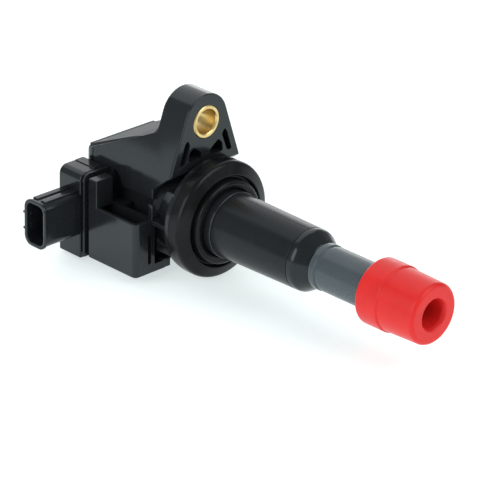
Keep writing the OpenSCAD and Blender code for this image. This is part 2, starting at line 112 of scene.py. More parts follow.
# Light. A lamp is (place in metres, (width, height) in metres, power in watts).
LAMPS = {
    "left_sky": ((-0.8, 0.35, 0.75), (1.5, 1.5), 6.6),
    "back_wall": ((-0.95, 0.8, 0.12), (1.6, 0.45), 3.4),
    "front_fill": ((0.85, 0.3, 0.75), (0.8, 0.8), 6.0),
    "side_fill": ((-0.1, -1.05, 0.5), (0.8, 0.8), 6.0),
}
SKY_COLOUR, SKY_STRENGTH = (0.92, 0.98, 1.0), 0.36
FLOOR_GLOW = 0.62  # light that the floor gives off, which keeps it evenly pale
FLOOR_SIDE, FLOOR_GAP = 8, 0.2 * MM  # side of the floor, and its gap below the coil, in metres
SENSOR_WIDTH = 36.0
NEAREST, FURTHEST = 0.05, 20.0  # what the camera sees, in metres


def span(node):
    """Lowest and highest corner of a CAD node, in millimetres."""
    low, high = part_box(node)
    return low / MM, high / MM


def top_z(x):
    """Height of the head's sloping top at a station."""
    return 27.5 + (x + 17.6) * math.tan(math.radians(SLOPE))


# ---- Selecting and editing ----


def pick_only(obj):
    """Deselects everything and then makes obj the only selected, active object."""
    if bpy.context.object and bpy.context.object.mode != "OBJECT":
        bpy.ops.object.mode_set(mode="OBJECT")
    bpy.ops.object.select_all(action="DESELECT")
    obj.select_set(True)
    bpy.context.view_layer.objects.active = obj


@contextmanager
def editing(obj, kind="FACE", test=None):
    """Edit mode on obj, with all of it selected, or only the faces or edges that pass the test."""
    pick_only(obj)
    mesh = obj.data
    bpy.context.tool_settings.mesh_select_mode = (False, kind == "EDGE", kind == "FACE")
    for parts in (mesh.vertices, mesh.edges, mesh.polygons):
        parts.foreach_set("select", [test is None] * len(parts))
    if test is not None:
        parts = mesh.edges if kind == "EDGE" else mesh.polygons
        parts.foreach_set("select", [bool(test(mesh, part)) for part in parts])
    bpy.ops.object.mode_set(mode="EDIT")
    yield
    bpy.ops.object.mode_set(mode="OBJECT")


def edge_ends(mesh, edge):
    """The two ends of an edge, in millimetres."""
    return [mesh.vertices[i].co / MM for i in edge.vertices]


# ---- Outlines and solids ----


def rounded(corners, steps=4):
    """Outline with round corners. A corner is (u, v) or (u, v, how far the rounding reaches)."""
    points = []
    for i, corner in enumerate(corners):
        here = Vector(corner[:2])
        reach = corner[2] if len(corner) > 2 else 0
        if not reach:
            points.append(tuple(here))
            continue
        before = Vector(corners[i - 1][:2]) - here
        after = Vector(corners[(i + 1) % len(corners)][:2]) - here
        start = here + before.normalized() * min(reach, 0.48 * before.length)
        end = here + after.normalized() * min(reach, 0.48 * after.length)
        for k in range(steps + 1):
            t = k / steps
            points.append(tuple(start * (1 - t) ** 2 + here * (2 * t * (1 - t)) + end * t * t))
    return points


def arc(centre, radius, start, stop, steps):
    """Points on an arc, with its angles in degrees."""
    turns = [math.radians(start + (stop - start) * i / steps) for i in range(steps + 1)]
    return [(centre[0] + radius * math.cos(a), centre[1] + radius * math.sin(a)) for a in turns]


def round_rect(centre, width, height, radius, steps=8):
    """Outline of a rectangle with round corners."""
    u, v = width / 2 - radius, height / 2 - radius
    points = []
    for i, (su, sv) in enumerate([(1, 1), (-1, 1), (-1, -1), (1, -1)]):
        middle = (centre[0] + su * u, centre[1] + sv * v)
        points += arc(middle, radius, 90 * i, 90 * i + 90, steps)
    return points


def loop(name, points, fill):
    """Closed loop of edges through points in space, from a circle."""
    bpy.ops.object.select_all(action="DESELECT")
    bpy.ops.mesh.primitive_circle_add(vertices=len(points), radius=MM, fill_type=fill)
    obj = bpy.context.object
    obj.name = obj.data.name = name
    for vertex, point in zip(obj.data.vertices, points):
        vertex.co = Vector(point) * MM
    return obj


def prism(name, axis, low, high, outline, edge=0.0, segments=3):
    """Outline drawn out along an axis, with its end edges rounded.

    Its points are (y, z) along X, (x, z) along Y and (x, y) along Z.
    """
    slot = "XYZ".index(axis)
    points = [[*p[:slot], low, *p[slot:]] for p in outline]
    obj = loop(name, points, "NGON")
    move = [0, 0, 0]
    move[slot] = (high - low) * MM
    with editing(obj):
        bpy.ops.mesh.extrude_region_move(TRANSFORM_OT_translate={"value": move})
        bpy.ops.mesh.select_all(action="SELECT")
        bpy.ops.mesh.normals_make_consistent(inside=False)
    if edge:
        round_sharp(obj, edge, segments)
    return obj


def brick(name, low, high, edge=0.0):
    """Box between two corners, with round edges."""
    outline = [(low[0], low[1]), (high[0], low[1]), (high[0], high[1]), (low[0], high[1])]
    return prism(name, "Z", low[2], high[2], outline, edge)


def turned(name, corners, centre_z=0.0):
    """Profile of (station, radius, rounding) corners spun about the plug axis.

    A profile that starts and ends on the axis has no edge along it.
    """
    profile = rounded(corners)
    obj = loop(name, [(x, 0, centre_z + r) for x, r in profile], "NOTHING")
    if profile[0][1] == 0 and profile[-1][1] == 0:
        last = len(profile) - 1
        with editing(obj, "EDGE", lambda mesh, edge: set(edge.vertices) == {0, last}):
            bpy.ops.mesh.delete(type="EDGE_FACE")
    with editing(obj):
        bpy.ops.mesh.select_all(action="SELECT")
        bpy.ops.mesh.spin(
            steps=TURN_STEPS, angle=2 * math.pi, center=(0, 0, centre_z * MM), axis=(1, 0, 0)
        )
        bpy.ops.mesh.select_all(action="SELECT")
        bpy.ops.mesh.remove_doubles(threshold=SAME_PLACE)
        bpy.ops.mesh.normals_make_consistent(inside=False)
    return obj


def rod(name, low, high, radius, centre_z=0.0):
    """Round cutter along the plug axis."""
    return turned(name, [(low, 0), (low, radius), (high, radius), (high, 0)], centre_z)


def round_edges(obj, size, segments, test):
    """Rounds the edges that pass the test."""
    with editing(obj, "EDGE", test):
        bpy.ops.mesh.bevel(
            offset=size * MM, segments=segments, affect="EDGES", profile=0.5, loop_slide=True
        )


def round_sharp(obj, size, segments=3):
    """Rounds every sharp edge."""
    pick_only(obj)
    bpy.context.tool_settings.mesh_select_mode = (False, True, False)
    bpy.ops.object.mode_set(mode="EDIT")
    bpy.ops.mesh.select_all(action="DESELECT")
    bpy.ops.mesh.edges_select_sharp(sharpness=SHARP_ANGLE)
    bpy.ops.mesh.bevel(offset=size * MM, segments=segments, affect="EDGES", loop_slide=True)
    bpy.ops.object.mode_set(mode="OBJECT")


def tidy(obj):
    """Joins flat neighbouring faces and drops doubled corners."""
    with editing(obj):
        bpy.ops.mesh.remove_doubles(threshold=SAME_PLACE)
        bpy.ops.mesh.dissolve_limited(angle_limit=FLAT_ANGLE)


def combine(obj, operation, *others):
    """Boolean of obj with the others, which are used up."""
    for other in others:
        pick_only(obj)
        bpy.ops.object.modifier_add(type="BOOLEAN")
        modifier = obj.modifiers[-1]
        modifier.operation, modifier.solver, modifier.object = operation, "EXACT", other
        bpy.ops.object.modifier_apply(modifier=modifier.name)
        bpy.data.objects.remove(other)
    return obj


def finish_piece(obj, body, slot, material, *nodes):
    """Smooths the faces, gives the finish, ties the piece to its body and hides the CAD nodes it
    stands for.
    """
    pick_only(obj)
    bpy.ops.object.shade_smooth_by_angle(angle=SMOOTH_ANGLE)
    bpy.ops.object.modifier_add(type="WEIGHTED_NORMAL")
    modifier = obj.modifiers[-1]
    modifier.keep_sharp = True
    bpy.ops.object.modifier_apply(modifier=modifier.name)
    obj.data.materials.clear()
    obj.data.materials.append(material)
    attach(obj, body)
    if nodes:
        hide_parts(*nodes)
    return obj


# ---- Finishes ----


class Wire:
    """One shader socket. Arithmetic on it adds Math nodes."""

    def __init__(self, finish, socket):
        self.finish, self.socket = finish, socket

    def math(self, operation, *values):
        """A Math node on all the values given, of which this socket is one."""
        return self.finish.add(
            "ShaderNodeMath", {"operation": operation}, dict(enumerate(values)), "Value"
        )

    def __add__(self, other):
        return self.math("ADD", self, other)

    __radd__ = __add__

    def __sub__(self, other):
        return self.math("SUBTRACT", self, other)

    def __rsub__(self, other):
        return self.math("SUBTRACT", other, self)

    def __mul__(self, other):
        return self.math("MULTIPLY", self, other)

    __rmul__ = __mul__

    def __truediv__(self, other):
        return self.math("DIVIDE", self, other)

    def __rtruediv__(self, other):
        return self.math("DIVIDE", other, self)

    def __pow__(self, other):
        return self.math("POWER", self, other)

    def __abs__(self):
        return self.math("ABSOLUTE", self)

    def band(self, low, high):
        """0 below low and 1 above high, with a smooth step between.

        With low above high it is 1 below high and 0 above low.
        """
        return self.finish.add(
            "ShaderNodeMapRange",
            {"interpolation_type": "SMOOTHSTEP"},
            {"Value": self, "From Min": low, "From Max": high},
            "Result",
        )


class Finish:
    """A material while its nodes are being laid."""

    def __init__(self, name):
        self.material = bpy.data.materials.new(name)
        self.material.use_nodes = True
        self.tree = self.material.node_tree
        self.tree.nodes.clear()

    @staticmethod
    def find(sockets, key):
        """The socket at a number, or the first one in use with a name."""
        if isinstance(key, int):
            return sockets[key]
        return next(s for s in sockets if s.name == key and s.enabled)

    def add(self, kind, settings, sockets, out):
        """Adds a node: its settings first, then the values or links of its sockets."""
        node = self.tree.nodes.new(kind)
        for key, value in settings.items():
            setattr(node, key, value)
        for key, value in sockets.items():
            socket = self.find(node.inputs, key)
            if isinstance(value, Wire):
                self.tree.links.new(value.socket, socket)
            else:
                socket.default_value = value
        return Wire(self, self.find(node.outputs, out)) if out else None

    def place(self, stretch=(1, 1, 1)):
        """Object coordinates in millimetres, stretched by axis."""
        spot = self.add("ShaderNodeTexCoord", {}, {}, "Object")
        scale = [s / MM for s in stretch]
        return self.add(
            "ShaderNodeVectorMath", {"operation": "MULTIPLY"}, {0: spot, 1: scale}, "Vector"
        )

    def axes(self):
        """X, Y and Z in millimetres, as three values."""
        spot = self.place()
        return [self.add("ShaderNodeSeparateXYZ", {}, {"Vector": spot}, a) for a in "XYZ"]

    def lathe_place(self, centre_z=0.0):
        """Station and radius as a vector, for marks that run round a turned piece."""
        x, y, z = self.axes()
        up = z - centre_z
        radius = (y * y + up * up) ** 0.5
        return self.add("ShaderNodeCombineXYZ", {}, {"X": x, "Y": radius}, "Vector")

    def noise(self, scale, detail=2.0, where=None, rough=0.5):
        """Noise from 0 to 1, with scale spots in a millimetre."""
        sockets = {"Scale": scale, "Detail": detail, "Roughness": rough}
        sockets["Vector"] = where or self.place()
        return self.add("ShaderNodeTexNoise", {}, sockets, "Fac")

    def cells(self, scale):
        """Distance to the nearest of scattered points, scale of them in a millimetre."""
        sockets = {"Scale": scale, "Vector": self.place()}
        return self.add("ShaderNodeTexVoronoi", {}, sockets, "Distance")

    def edges(self, reach):
        """1 on edges and 0 on open faces, reaching some millimetres."""
        soft = self.add("ShaderNodeBevel", {"samples": 4}, {"Radius": reach * MM}, "Normal")
        flat = self.add("ShaderNodeNewGeometry", {}, {}, "Normal")
        along = self.add(
            "ShaderNodeVectorMath", {"operation": "DOT_PRODUCT"}, {0: soft, 1: flat}, "Value"
        )
        return along.band(0.995, 0.9)

    def mix(self, share, first, second):
        """Colour between two colours."""
        first, second = [c if isinstance(c, Wire) else (*c, 1) for c in (first, second)]
        return self.add(
            "ShaderNodeMix",
            {"data_type": "RGBA"},
            {"Factor": share, "A": first, "B": second},
            "Result",
        )

    def bump(self, height, depth):
        """Normal from a height, depth millimetres deep."""
        sockets = {"Strength": 1.0, "Distance": depth * MM, "Height": height}
        return self.add("ShaderNodeBump", {}, sockets, "Normal")

    def solid(self, sockets):
        """Ends the material in one Principled shader."""
        shader = self.add("ShaderNodeBsdfPrincipled", {}, sockets, "BSDF")
        self.add("ShaderNodeOutputMaterial", {}, {"Surface": shader}, None)
        return self.material


def shade(colour, factor):
    """The colour made lighter or darker."""
    return tuple(min(1.0, c * factor) for c in colour)


def moulded(name, colour, roughness, peel, grain, worn=2.2, specular=0.4, deck=False):
    """Moulded plastic: flow clouds, fine grain, slight waviness and rubbed edges.

    With deck set, the head's sloping top is matt.
    """
    f = Finish(name)
    cloud = f.noise(0.09, 4)
    fine = f.noise(7.0, 2)
    specks = f.noise(2.2, 3)
    edge = f.edges(0.35) * f.noise(0.6, 4).band(0.3, 0.62)
    base = f.mix(cloud * 0.6 + specks * 0.4, shade(colour, 0.75), shade(colour, 1.3))
    base = f.mix(edge * 0.5, base, shade(colour, worn))
    gloss = roughness + (cloud - 0.5) * 0.1 + (specks - 0.5) * 0.08 + edge * 0.08
    if deck:
        # From just below the top upwards, and behind the ear.
        x, _, z = f.axes()
        rise = z - top_z(x)
        gloss = gloss + rise.band(-0.35, -0.1) * x.band(-14, -16) * 0.42
    return f.solid({
        "Base Color": base,
        "Roughness": gloss,
        "Specular IOR Level": specular,
        "Specular Tint": (0.86, 0.97, 1.0, 1),
        "Normal": f.bump(fine * grain + f.noise(0.45, 1) * peel, 0.01),
    })


def silicone(name, colour):
    """Red silicone: soft sheen, fine matt grain, dust in spots and paler stretched edges."""
    f = Finish(name)
    cloud = f.noise(0.12, 3)
    fine = f.noise(9.0, 2)
    dust = f.noise(1.4, 5).band(0.6, 0.78) * f.noise(0.16, 2).band(0.4, 0.7)
    edge = f.edges(0.4)
    base = f.mix(cloud, shade(colour, 0.88), shade(colour, 1.1))
    base = f.mix(edge * 0.12 + dust * 0.1, base, (0.85, 0.2, 0.17))
    return f.solid({
        "Base Color": base,
        "Roughness": 0.3 + (cloud - 0.5) * 0.12 + dust * 0.25,
        "Subsurface Weight": 0.12,
        "Subsurface Radius": (1.0, 0.25, 0.2),
        "Subsurface Scale": 0.0008,
        "Specular IOR Level": 0.24,
        "Normal": f.bump(fine * 0.5 + f.noise(0.5, 1), 0.012),
    })


def rubber(name, colour, roughness):
    """Moulded rubber: matt, with bloom in patches and turned tool marks from its mould."""
    f = Finish(name)
    bloom = f.noise(0.14, 5).band(0.35, 0.8)
    rings = f.noise(3.5, 1, f.lathe_place())
    fine = f.noise(10.0, 2)
    edge = f.edges(0.4)
    base = f.mix(bloom, colour, shade(colour, 2.0))
    base = f.mix(edge * 0.35, base, shade(colour, 3.0))
    return f.solid({
        "Base Color": base,
        "Roughness": roughness + (bloom - 0.5) * 0.14 - edge * 0.1,
        "Specular IOR Level": 0.15,
        "Normal": f.bump(fine * 0.8 + rings * 0.7, 0.012),
    })


def metal(name, colour, roughness, centre_z=None, tarnish=(0.25, 0.14, 0.05), lines=5.0):
    """Bare or plated metal with tool lines, tarnish in patches and bright edges."""
    f = Finish(name)
    where = f.lathe_place(centre_z) if centre_z is not None else f.place((0.12, 1, 1))
    tool = f.noise(lines, 3, where, 0.7)
    patch = f.noise(0.3, 5).band(0.45, 0.75)
    edge = f.edges(0.25)
    base = f.mix(tool * 0.5, colour, shade(colour, 0.8))
    base = f.mix(patch * 0.3 * (1 - edge), base, tarnish)
    base = f.mix(edge * 0.7, base, shade(colour, 1.25))
    return f.solid({
        "Base Color": base,
        "Metallic": 1.0,
        "Roughness": roughness + tool * 0.12 + patch * 0.12,
        "Normal": f.bump(tool, 0.006),
    })


def wound(name, colour, pitch):
    """Enamelled wire laid side by side, each turn a little different, with painted shade in the
    creases between turns.
    """
    f = Finish(name)
    x, _, _ = f.axes()
    step = x / pitch
    turn = step.math("FRACT", step)
    crown = 1 - abs(turn * 2 - 1) ** 2
    lane = f.add("ShaderNodeCombineXYZ", {}, {"X": step.math("FLOOR", step)}, "Vector")
    shift = f.noise(0.9, 0, lane)
    base = f.mix(shift, shade(colour, 0.6), shade(colour, 1.25))
    # Painted shade: the colour is darkened in the crease between neighbouring turns.
    base = f.mix(crown.band(0.5, 0.0) * 0.7, base, shade(colour, 0.12))
    return f.solid({
        "Base Color": base,
        "Metallic": 0.85,
        "Roughness": 0.3 + shift * 0.15,
        "Coat Weight": 0.4,
        "Normal": f.bump(crown, pitch * 0.35),
    })


def spool(name, colour):
    """Glass-filled natural plastic, speckled, with flow lines."""
    f = Finish(name)
    specks = f.cells(4.0).band(0.18, 0.08)
    flow = f.noise(0.8, 4, f.place((0.25, 1, 1)))
    base = f.mix(flow, shade(colour, 0.85), shade(colour, 1.08))
    base = f.mix(specks * 0.5, base, shade(colour, 0.6))
    return f.solid({
        "Base Color": base,
        "Roughness": 0.48 + (flow - 0.5) * 0.2 + specks * 0.1,
        "Normal": f.bump(flow + specks * 0.5, 0.015),
    })


def sheet_steel(name, colour):
    """Electrical steel: rolling lines along the strip, blued oxide and lamination joints."""
    f = Finish(name)
    _, _, z = f.axes()
    rolled = f.noise(3.0, 4, f.place((0.06, 1, 1)))
    oxide = f.noise(0.2, 4).band(0.4, 0.7)
    layer = z / LAMINATION
    strip = layer.math("FRACT", layer)
    joint = abs(strip * 2 - 1).band(0.86, 0.98)
    base = f.mix(rolled, shade(colour, 0.8), shade(colour, 1.2))
    base = f.mix(oxide * 0.5, base, (0.12, 0.15, 0.22))
    base = f.mix(joint * 0.6, base, shade(colour, 0.15))
    return f.solid({
        "Base Color": base,
        "Metallic": 0.95,
        "Roughness": 0.38 + oxide * 0.15 + rolled * 0.1,
        "Normal": f.bump(rolled * 0.4 - joint * 0.6, 0.02),
    })


def sintered(name, colour):
    """Nickel-plated sintered magnet with a fine orange peel."""
    f = Finish(name)
    peel = f.noise(3.0, 3)
    pits = f.cells(2.0).band(0.14, 0.05)
    edge = f.edges(0.3)
    base = f.mix(peel, shade(colour, 0.85), shade(colour, 1.15))
    base = f.mix(pits * 0.6 + edge * 0.2, base, (0.08, 0.075, 0.07))
    return f.solid({
        "Base Color": base,
        "Metallic": 0.9,
        "Roughness": 0.28 + peel * 0.15 + pits * 0.2,
        "Normal": f.bump(peel - pits, 0.02),
    })


def resistor_finish(name, colour, low, high):
    """Ceramic body between two stations, with a tinned cap at each end."""
    f = Finish(name)
    x, _, _ = f.axes()
    rear, front, blur = low + RESISTOR_CAP, high - RESISTOR_CAP, 0.02
    ends = x.band(rear + blur, rear - blur) + x.band(front - blur, front + blur)
    glaze = f.noise(1.2, 4)
    tool = f.noise(4.0, 2, f.lathe_place())
    base = f.mix(glaze, shade(colour, 0.85), shade(colour, 1.08))
    base = f.mix(ends, base, (0.62, 0.6, 0.55))
    return f.solid({
        "Base Color": base,
        "Metallic": ends,
        "Roughness": 0.42 + glaze * 0.15 - ends * 0.12,
        "Normal": f.bump(glaze * 0.6 + tool * 0.4, 0.012),
    })


def potted(name, colour):
    """Dark epoxy, poured and set: glossy, faintly wavy, with small bubbles and filler dust."""
    f = Finish(name)
    swirl = f.noise(0.16, 5)
    filler = f.noise(9.0, 2)
    bubbles = f.cells(0.35).band(0.12, 0.08)
    base = f.mix(swirl, shade(colour, 0.7), shade(colour, 1.6))
    base = f.mix(bubbles * 0.5, base, shade(colour, 3.0))
    return f.solid({
        "Base Color": base,
        "Roughness": 0.16 + swirl * 0.12 + bubbles * 0.2,
        "Normal": f.bump(swirl * 2 + filler * 0.2 - bubbles, 0.05),
    })


def floor_finish(name, colour):
    """Plain pale paper on a lit table."""
    f = Finish(name)
    fibre = f.noise(0.8, 4)
    return f.solid({
        "Base Color": f.mix(fibre, shade(colour, 0.985), colour),
        "Roughness": 0.7 + fibre * 0.1,
        "Specular IOR Level": 0.2,
        "Emission Color": (0.93, 1.0, 1.0, 1),
        "Emission Strength": FLOOR_GLOW,
    })


def make_finishes(colours):
    """Every finish of the coil, by name."""
    low, high = span("noise_resistor")
    return {
        "gloss": moulded("gloss_black_plastic", colours.black, 0.16, 0.4, 0.1, deck=True),
        "satin": moulded("satin_black_plastic", colours.black, 0.24, 0.3, 0.2, specular=0.2),
        "cap": moulded("cap_black_plastic", shade(colours.black, 0.7), 0.2, 0.4, 0.1),
        "slate": moulded("slate_plastic", colours.slate, 0.26, 0.35, 0.3, 1.35),
        "silicone": silicone("red_silicone", colours.red),
        "seal_rubber": rubber("seal_rubber", colours.rubber, 0.24),
        "pad_rubber": rubber("pad_rubber", colours.rubber, 0.6),
        "brass": metal("machined_brass", colours.brass, 0.24, BUSH_Z),
        "steel": metal("bright_steel", (0.62, 0.62, 0.6), 0.22, 0.0, (0.3, 0.28, 0.25)),
        "wire": metal("spring_wire", (0.55, 0.55, 0.54), 0.25, None, (0.25, 0.24, 0.22)),
        "tinned": metal("tinned_brass", (0.66, 0.62, 0.52), 0.28, None, (0.35, 0.3, 0.2), 3.0),
        "copper": metal("copper_plate", (0.72, 0.36, 0.22), 0.3, None, (0.25, 0.1, 0.06), 3.0),
        "primary_wire": wound("primary_wire", (0.62, 0.2, 0.06), PRIMARY_PITCH),
        "secondary_wire": wound("secondary_wire", (0.5, 0.13, 0.04), SECONDARY_PITCH),
        "spool": spool("spool_plastic", (0.62, 0.57, 0.45)),
        "sheet_steel": sheet_steel("electrical_steel", (0.32, 0.33, 0.34)),
        "magnet": sintered("plated_magnet", (0.4, 0.4, 0.39)),
        "resistor": resistor_finish("resistor_ceramic", (0.55, 0.5, 0.42), low.x, high.x),
        "resin": potted("potting_resin", (0.014, 0.011, 0.009)),
    }


# The finishes, made when the first operator runs.
FINISHES = {}


# ---- Sizes and colours that a user would change ----


def length(name, description, default):
    """A length property, its default in millimetres."""
    return bpy.props.FloatProperty(
        name=name, description=description, default=default * MM, unit="LENGTH", precision=5
    )


def colour(name, description, default):
    """A colour property."""
    return bpy.props.FloatVectorProperty(
        name=name, description=description, default=default, subtype="COLOR", min=0, max=1
    )


class CoilSizes(bpy.types.PropertyGroup):
    """Roundings and small features that the CAD frame doesn't hold."""

    body_edge: length("Body edge", "Rounding of the head's outer edges", 0.45)
    tray_edge: length("Tray edge", "Rounding of the side tray's edges", 0.35)
    tray_corner: length("Tray corner", "Reach of the tray's upright front corner", 2.0)
    block_edge: length("Block edge", "Rounding of the connector block's edges", 0.55)
    shroud_edge: length("Shroud edge", "Rounding of the shroud's mouth", 0.3)
    meniscus: length("Meniscus", "How far the resin's middle lies below its rim", 0.35)
    parting_line: length("Parting line", "Height of the mould line on the coil tube", 0.05)
    blade_edge: length("Blade edge", "Rounding of the terminal blades", 0.1)


class CoilColours(bpy.types.PropertyGroup):
    """Base colours of the finishes."""

    black: colour(
        "Black plastic", "Colour of the head, connector and tube", (0.0125, 0.014, 0.0155)
    )
    slate: colour("Tower plastic", "Colour of the high-voltage tower", (0.062, 0.078, 0.088))
    red: colour("Silicone", "Colour of the plug boot", (0.75, 0.024, 0.022))
    rubber: colour("Rubber", "Colour of the well seal", (0.006, 0.0068, 0.007))
    brass: colour("Brass", "Colour of the bolt bush", (0.8, 0.61, 0.27))
    floor: colour("Floor", "Colour of the floor", (0.6, 0.62, 0.62))


class CoilCamera(bpy.types.PropertyGroup):
    """Where the camera stands and how it is turned."""

    azimuth: bpy.props.FloatProperty(
        name="Azimuth", description="Turn round the object from -Y",
        default=math.radians(45.1), subtype="ANGLE",
    )
    elevation: bpy.props.FloatProperty(
        name="Elevation", description="Angle above the floor",
        default=math.radians(25.1), subtype="ANGLE",
    )
    roll: bpy.props.FloatProperty(
        name="Roll", description="Turn about the line of sight",
        default=math.radians(1.3), subtype="ANGLE",
    )
    distance: length("Distance", "Distance along the line of sight", 1000.0)
    aside: length("Aside", "Sideways place of the origin in the view", -9.28)
    above: length("Above", "Upward place of the origin in the view", 8.2)
    lens: bpy.props.FloatProperty(
        name="Lens", description="Focal length", default=225.0, unit="CAMERA"
    )


# ---- Head ----


def tangent_point(centre, radius, point):
    """Where the line from a point below touches the right side of a circle."""
    away = Vector(point) - Vector(centre)
    turn = math.atan2(away.y, away.x) + math.acos(radius / away.length)
    return centre[0] + radius * math.cos(turn), centre[1] + radius * math.sin(turn)


def ear_outline():
    """Front outline of the ear and the flanks, as (y, z)."""
    centre, radius = (0, 32.9), 9.6
    shoulder = 16
    touch = tangent_point(centre, radius, (SIDE, shoulder))
    start = math.degrees(math.atan2(touch[1] - centre[1], touch[0]))
    crown = arc(centre, radius, start, 180 - start, 48)
    return [
        (SIDE, UNDERSIDE), (SIDE, shoulder), *crown, (-SIDE, shoulder), (-SIDE, UNDERSIDE),
    ]


def side_outline():
    """Side outline with the sloping top and the curve up to the ear, as (x, z)."""
    back, bend = -15, 4.0
    centre = (back - bend, top_z(back) + bend * math.tan(math.radians((90 - SLOPE) / 2)))
    return [
        (REAR, UNDERSIDE), (REAR, top_z(REAR)), *arc(centre, bend, SLOPE - 90, 0, 12),
        (back, 44), (EAR_FRONT, 44), (EAR_FRONT, 16.8), (-12, 10), (-12, UNDERSIDE),
    ]


def flange_outline(inner, inset=0.0):
    """Outline of a flange's rib, or of its core set back from the ribs, as (y, z)."""
    reach = 2.5
    outer, top, bottom = -27.7 + inset, 11.9 - inset, -18.2
    corner = arc((outer + reach, top - reach), reach, 90, 180, 8)
    return [(inner, bottom), (inner, top), *corner, (outer, bottom)]


def make_body(size):
    """Main body with its ear: three outlines in common, with round edges."""
    body = prism("head_case_looks", "Y", -20, 20, side_outline())
    front = prism("ear", "X", -50, 0, ear_outline())
    plan = [(REAR, -SIDE, 4.2), (0, -SIDE), (0, SIDE), (REAR, SIDE, 1)]
    upright = prism("plan", "Z", -20, 50, rounded(plan, 8))
    combine(body, "INTERSECT", front, upright)
    tidy(body)
    round_sharp(body, size.body_edge / MM, 3)
    # The flank is set back beside the tray, under a curved arch.
    arch = arc((-33.3, 5.8), 6.4, 8.1, 71.8, 16)
    recess = [(-11, -19), (-11, 6.7), *arch, (-31.3, -19)]
    combine(body, "DIFFERENCE", prism("recess", "Y", -18, -14, recess))
    return body


def make_tray(size):
    """Thin-walled tray beside the body."""
    edge = size.tray_edge / MM
    outer, front = -27.3, -8
    corner = size.tray_corner / MM
    plan = [(-31.3, outer), (front, outer, corner), (front, TRAY_SIDE), (-33.3, TRAY_SIDE)]
    tray = prism("tray", "Z", UNDERSIDE, 1.5, rounded(plan, 6), edge)
    # The pocket is the tray's inside, the channel runs beside the body, and the slot is in front.
    pocket = [(-31.2, -25.9, 1.2), (-9.4, -25.9, 1.4), (-9.4, -20, 0.6), (-31.3, -20, 0.6)]
    channel = [(-23.3, -18.6, 0.6), (-5, -18.6), (-5, -12), (-23.3, -12)]
    slot = round_rect((-20.9, -8.9), 1.4, 10.8, 0.65, 5)
    combine(
        tray, "DIFFERENCE",
        prism("pocket", "Z", -12.8, 5, rounded(pocket)),
        prism("channel", "Z", -14.8, 5, rounded(channel)),
        prism("slot", "X", -13, -6, slot),
    )
    return tray


def ear_pockets():
    """Cutters for the four blind pockets in the ear's front face."""
    cutters = []
    for side in (-1, 1):
        inner = [
            (1.9, 22.4, 0.8), (5.7, 25.2, 0.9), (7.6, 23.2, 0.8), (7.8, 20.2, 0.8),
            (1.9, 20.4, 0.8),
        ]
        outer = [
            (7.2, 26.4, 0.8), (8.4, 28.3, 0.9), (9.6, 27.0, 0.6), (12.0, 19.8, 0.8),
            (9.8, 19.8, 0.8),
        ]
        for shape in (inner, outer):
            outline = [(side * y, z) for y, z in rounded(shape)]
            cutters.append(prism("pocket", "X", -9.5, -1, outline))
    return cutters


def make_head(size):
    """Head moulding: body, neck, seal seat, tray, flange, lug, post, gusset and their cuts."""
    edge = size.tray_edge / MM
    rib = -33.3
    head = make_body(size)
    rim = [
        (-14.2, 12.8), (-14.2, 14.1, 0.6), (-12.2, RIM_TOP, 1.6), (15.7, RIM_TOP, 1.2),
        (15.7, 12.8),
    ]
    deck = [
        (-46.1, 12.8), (-46.1, RIM_TOP, 0.3), (-45, RIM_TOP, 0.4), (-24, 24.9, 3), (-20, 26.2),
    ]
    # The neck ends in the seal's seat, a disc, and the spigot that the seal sits on.
    neck = turned("neck", [
        (-12.5, 0), (-12.5, 16), (-2, 16), (-2, 20.1, 0.25), (0, 20.1, 0.25), (0, 11.65, 0.2),
        (10.9, 11.65, 0.45), (10.9, 0),
    ])
    gusset = [(-9, 1.2), (-8.6, 5, 1.5), (-5, 12.2, 1.5), (-1, 12.2), (-1, 1.2)]
    combine(
        head, "UNION",
        prism("rim", "X", REAR, -44.4, rounded(rim, 6), 0.4),
        prism("deck", "Y", -13.2, 15.6, rounded(deck)),
        neck,
        make_tray(size),
        prism("flange", "X", rib, rib + FLANGE_PLATE, flange_outline(TRAY_SIDE), 0.12),
        prism("flange_core", "X", rib, -31.1, flange_outline(TRAY_SIDE, GROOVE)),
        brick("lug", (-31.25, -27.25, 1.0), (-27.3, -19.8, 11.2), edge),
        brick("strip", (-13, -15, -17.7), (-8.1, -11.2, -14.3), 0.25),
        brick("post", (-10, -19.95, 1.0), (-8, -18.65, 6.7), 0.25),
        prism("gusset", "Y", -16.5, -13.5, rounded(gusset), 0.3),
        brick("web", (-9, -19.9, -0.2), (-1.1, -13.6, 1.25), 0.2),
    )
    # The cavity is open at the rear, and its window leads to the terminals.
    cavity = [(-47.2, -15.3, 0.1), (-47.2, 11.07), (-38.85, 15), (-17, 15, 1), (-17, -15.3, 1)]
    combine(
        head, "DIFFERENCE",
        prism("cavity", "Y", -12, 12, rounded(cavity)),
        rod("neck_bore", -18, 12, 10.45),
        brick("window", (-43.45, -17, -10.15), (-35.45, -11, 3.25)),
        rod("bush_hole", -16, -2, 5.82, BUSH_Z),
        *ear_pockets(),
    )
    tidy(head)
    return head


# ---- Connector ----


